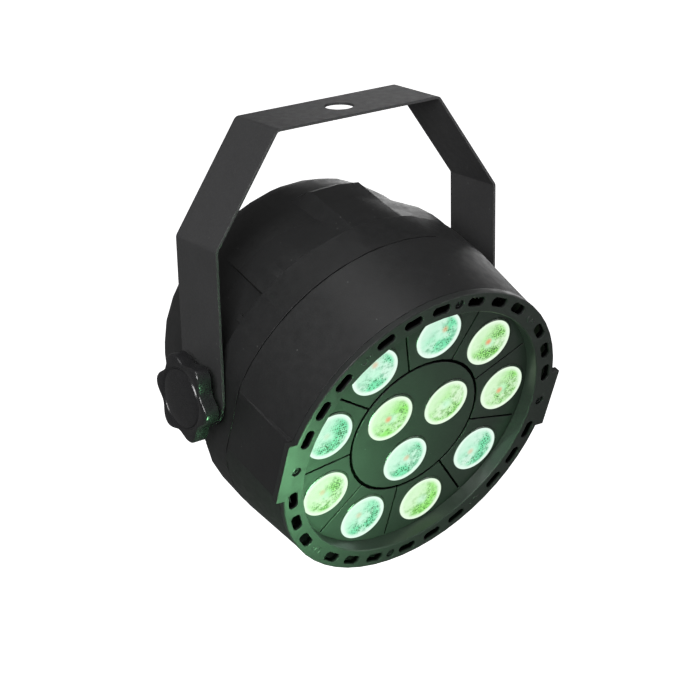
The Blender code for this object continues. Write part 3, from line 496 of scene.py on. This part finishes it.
def smooth(obj, sharpest):
    """Joins the split triangles of a CAD mesh and shades it smooth between its sharp edges."""
    obj.data.shade_smooth()
    weld = obj.modifiers.new("weld", "WELD")
    weld.merge_threshold = 0.01 * MM
    split = obj.modifiers.new("sharp edges", "EDGE_SPLIT")
    split.split_angle = math.radians(sharpest)
    split.use_edge_sharp = False
    obj.modifiers.new("normals", "WEIGHTED_NORMAL")


# ---------------------------------------------------------------- finer pieces

def lens_spots():
    """The middle of each lens, in the order of the CAD nodes."""
    for i in range(OUTER_LENSES):
        yield polar(OUTER_CIRCLE, 90.0 + 360.0 / OUTER_LENSES * i)
    for i in range(INNER_LENSES):
        yield polar(INNER_CIRCLE, 30.0 + 360.0 / INNER_LENSES * i)


def build_lenses():
    """Each lens: a cone down to its die, a rolled rim and a shallow dome.

    Points are of radius and height in the lamp frame. The small cells are in the material.
    """
    cone = [(0.0, 41.2), (3.2, 41.2), (9.4, 48.2), (11.3, 48.6), (11.3, 53.5)]
    rim = [(LENS_RADIUS, 53.5), (LENS_RADIUS, 53.7), (11.9, 53.85), (11.5, 53.95), (11.0, 53.95),
           (10.6, 53.8), (10.2, 53.7)]
    dome = [(9.0, 53.85), (7.0, 54.1), (4.5, 54.3), (2.0, 54.4), (0.0, 54.4)]
    for number, ((x, y), die) in enumerate(zip(lens_spots(), DIES), 1):
        finish = glow(number, LIME if number in LIME_LENSES else MINT, die)
        bm = turned(cone + rim + dome, LENS_STEPS)
        make("lit_lens_%02d" % number, bm, finish, LAMP @ shift(x, y, 0.0), "head",
             ["lens_%02d" % number], LENS_SHARP)


def lobed(scale, z):
    """One ring of the knob's lobed outline."""
    ring = []
    for i in range(KNOB_STEPS):
        angle = 360.0 * i / KNOB_STEPS
        radius = scale * (KNOB_MEAN + KNOB_LOBE * math.cos(math.radians(LOBES * angle)))
        ring.append((*polar(radius, angle), z))
    return ring


def build_knobs():
    """Both knobs: a round foot, lobed sides with rolled edges, and a cap inside a groove.

    Points are of radius and height, or on the sides of scale and height.
    """
    top = KNOB_HEIGHT
    foot = [(9.5, 0.0), (9.5, 3.3)]
    sides = [(0.93, 3.5), (0.965, 3.6), (0.988, 3.9), (1.0, 4.4), (1.0, top - 1.1), (0.994, top - 0.6),
             (0.976, top - 0.2), (0.95, top)]
    cap = [(14.4, top), (14.1, top - 0.15), (13.7, top - 0.7), (13.3, top - 0.75), (12.9, top - 0.2),
           (12.2, top + 0.05), (8.0, top + 0.35), (3.0, top + 0.5)]
    rings = [circle(radius, z, KNOB_STEPS) for radius, z in foot]
    rings += [lobed(scale, z) for scale, z in sides]
    rings += [circle(radius, z, KNOB_STEPS) for radius, z in cap]
    rings.append([(0.0, 0.0, top + 0.5)])
    for name, side in (("left", -1), ("right", 1)):
        outward = turn(90.0 * side, "Y") @ turn(-KNOB_PHASE * side, "Z")
        lay = HINGE @ shift(side * KNOB_INNER, 0.0, 0.0) @ outward
        make(name + "_grip", skin(rings), GLOSSY, lay, name + "_knob", [name + "_knob"],
             KNOB_SHARP)


def screw(name, radius, height, shaft, matrix, replaced):
    """A black pan head with a cross recess; z points out of the surface."""
    profile = [(0.0, -shaft), (radius * 0.45, -shaft), (radius * 0.45, 0.0), (radius, 0.0),
               (radius, height * 0.35), (radius * 0.93, height * 0.7), (radius * 0.7, height * 0.93),
               (radius * 0.35, height), (0.0, height)]
    bm = turned(profile, SCREW_STEPS)
    obj = make(name, bm, BLACK_STEEL, matrix, "head", [replaced])
    length = radius * 0.62
    width = radius * 0.13
    for quarter in (0.0, 90.0):
        slit = box(-length, length, -width, width, height * 0.3, height + 1.0)
        bmesh.ops.transform(slit, matrix=turn(quarter + RECESS_ANGLE, "Z"), verts=slit.verts)
        cut_with(obj, slit)


def build_screws():
    """The screws sunk in the front ring, and the larger ones on the rear cover."""
    for number, angle in enumerate(BEZEL_SCREWS, 1):
        x, y = polar(SCREW_CIRCLE, angle)
        screw("bezel_cross_screw_%d" % number, 2.05, 1.2, 12.0, LAMP @ shift(x, y, FACE - 1.8),
              "bezel_screw_%d" % number)
    for number, angle in enumerate(COVER_SCREWS, 1):
        x, y = polar(COVER_CIRCLE, angle)
        lay = LAMP @ shift(x, y, COVER_OUT - 0.3) @ turn(180.0, "X")
        screw("cover_cross_screw_%d" % number, 3.0, 1.9, 7.0, lay, "cover_screw_%d" % number)


def open_arc(angle, radius, thickness):
    """A wire bent to an open arc, whose gap of 120 degrees faces along angle."""
    rings = []
    for i in range(ARC_STEPS + 1):
        x, y = polar(radius, angle + 60.0 + 240.0 * i / ARC_STEPS)
        around = []
        for k in range(WIRE_STEPS):
            out, up = polar(thickness, 360.0 / WIRE_STEPS * k)
            around.append((x * (1.0 + out / radius), y * (1.0 + out / radius), up))
        rings.append(around)
    return skin(rings)


def build_marks():
    """Small moulded tool marks on the ring: an open arc and a dot."""
    profile = [(0.0, -0.3), (0.55, -0.3), (0.55, 0.1), (0.35, 0.3), (0.0, 0.36)]
    for number, angle in enumerate(MARK_ANGLES, 1):
        x, y = polar(SCREW_CIRCLE, angle)
        arc = open_arc(angle, MARK_RADIUS, MARK_WIRE)
        make("mould_arc_%d" % number, arc, SATIN, LAMP @ shift(x, y, FACE), "head", ())
        x, y = polar(SCREW_CIRCLE, angle - DOT_LAG)
        dot = turned(profile, DOT_STEPS)
        make("mould_dot_%d" % number, dot, SATIN, LAMP @ shift(x, y, FACE), "head", ())


# ---------------------------------------------------------------- studio and camera

def soft_light(name, where, aim, size, power, colour=(1.0, 1.0, 1.0)):
    """A square light that faces the point aim, in metres and watts."""
    data = bpy.data.lights.new(name, "AREA")
    data.shape = "SQUARE"
    data.size = size
    data.energy = power
    data.color = colour
    obj = bpy.data.objects.new(name, data)
    bpy.context.scene.collection.objects.link(obj)
    obj.location = where
    obj.rotation_euler = (Vector(aim) - Vector(where)).to_track_quat("-Z", "Y").to_euler()
    return obj


def plain_glow(name, colour):
    """The studio's own pale, shining surface."""
    made = bpy.data.materials.new(name)
    made.use_nodes = True
    shader = made.node_tree.nodes["Principled BSDF"]
    shader.inputs["Base Color"].default_value = (*colour, 1.0)
    shader.inputs["Roughness"].default_value = 0.9
    shader.inputs["Emission Color"].default_value = (*colour, 1.0)
    shader.inputs["Emission Strength"].default_value = STUDIO_GLOW
    return made


def set_piece(name, bm, material):
    """A piece of the studio, which neither lights the lamp nor shows in its gloss."""
    mesh = bpy.data.meshes.new(name)
    bm.to_mesh(mesh)
    bm.free()
    mesh.materials.append(material)
    obj = bpy.data.objects.new(name, mesh)
    bpy.context.scene.collection.objects.link(obj)
    obj.visible_diffuse = False
    obj.visible_glossy = False
    return obj


def build_studio():
    """A white floor in a white sphere, under a dim sky."""
    bm = bmesh.new()
    bmesh.ops.create_circle(bm, cap_ends=True, segments=64, radius=FLOOR_RADIUS)
    floor = set_piece("floor", bm, plain_glow("pale_floor", (0.95, 0.95, 0.95)))
    floor.location = (0.0, 0.0, FLOOR_LEVEL)
    bm = bmesh.new()
    bmesh.ops.create_uvsphere(bm, u_segments=48, v_segments=24, radius=BACKDROP_RADIUS)
    backdrop = set_piece("backdrop", bm, plain_glow("pale_backdrop", (1.0, 1.0, 1.0)))
    backdrop.visible_shadow = False

    world = bpy.data.worlds.new("studio")
    bpy.context.scene.world = world
    world.use_nodes = True
    sky = world.node_tree.nodes["Background"]
    sky.inputs["Color"].default_value = (1.0, 1.0, 1.0, 1.0)
    sky.inputs["Strength"].default_value = SKY_GLOW


def build_lights():
    """Soft white lights, and a green one that stands for the lenses' glow and turns with the head.

    Places and sizes are in metres.
    """
    middle = (0.0, 0.0, -0.1)
    soft_light("key", (-0.9, -0.72, 0.5), middle, size=0.55, power=14.0)
    soft_light("top", (-0.15, -0.25, 1.0), middle, size=0.6, power=3.0)
    soft_light("fill", (0.95, -0.45, 0.1), middle, size=0.6, power=1.2)
    soft_light("side", (0.8, 0.75, 0.0), middle, size=0.5, power=1.6)
    soft_light("low", (0.5, -0.75, -0.42), middle, size=0.3, power=1.2)
    ahead = LAMP @ Vector((-0.058, -0.028, 0.130))
    target = LAMP @ Vector((-0.05, -0.02, FACE * MM))
    bounce = soft_light("lamp_bounce", ahead, target, size=0.05, power=0.21, colour=(0.36, 1.0, 0.46))
    bounce.data.spread = math.radians(BOUNCE_SPREAD)
    bpy.context.view_layer.update()
    placed = bounce.matrix_world.copy()
    bounce.parent = frame["bodies"]["head"]
    bounce.matrix_world = placed


def build_camera():
    """The photograph's view: a long lens from the lamp's left and above."""
    azimuth, elevation, roll = (math.radians(v) for v in VIEW_ANGLES)
    back = Vector((math.sin(azimuth) * math.cos(elevation), -math.cos(azimuth) * math.cos(elevation),
                   math.sin(elevation)))
    right = Vector((math.cos(azimuth), math.sin(azimuth), 0.0))
    up = back.cross(right)
    across = right * math.cos(roll) + up * math.sin(roll)
    upward = up * math.cos(roll) - right * math.sin(roll)
    data = bpy.data.cameras.new("camera")
    data.sensor_width = SENSOR_WIDTH
    data.lens = VIEW_LENS
    data.clip_start = 0.01
    data.clip_end = 60.0
    camera = bpy.data.objects.new("camera", data)
    bpy.context.scene.collection.objects.link(camera)
    matrix = Matrix((across, upward, back)).transposed().to_4x4()
    matrix.translation = (Vector(VIEW_TARGET) + back * VIEW_DISTANCE) * MM
    camera.matrix_world = matrix
    bpy.context.scene.camera = camera


# ---------------------------------------------------------------- main

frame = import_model()
for node_name, cad in frame["nodes"].items():
    cad.data.materials.clear()
    cad.data.materials.append(finish_of(node_name))
    smooth(cad, SHELL_SHARP if node_name == "rear_housing" else CAD_SHARP)
build_lenses()
build_knobs()
build_screws()
build_marks()
build_studio()
build_lights()
build_camera()
bpy.context.scene.view_settings.view_transform = "Standard"
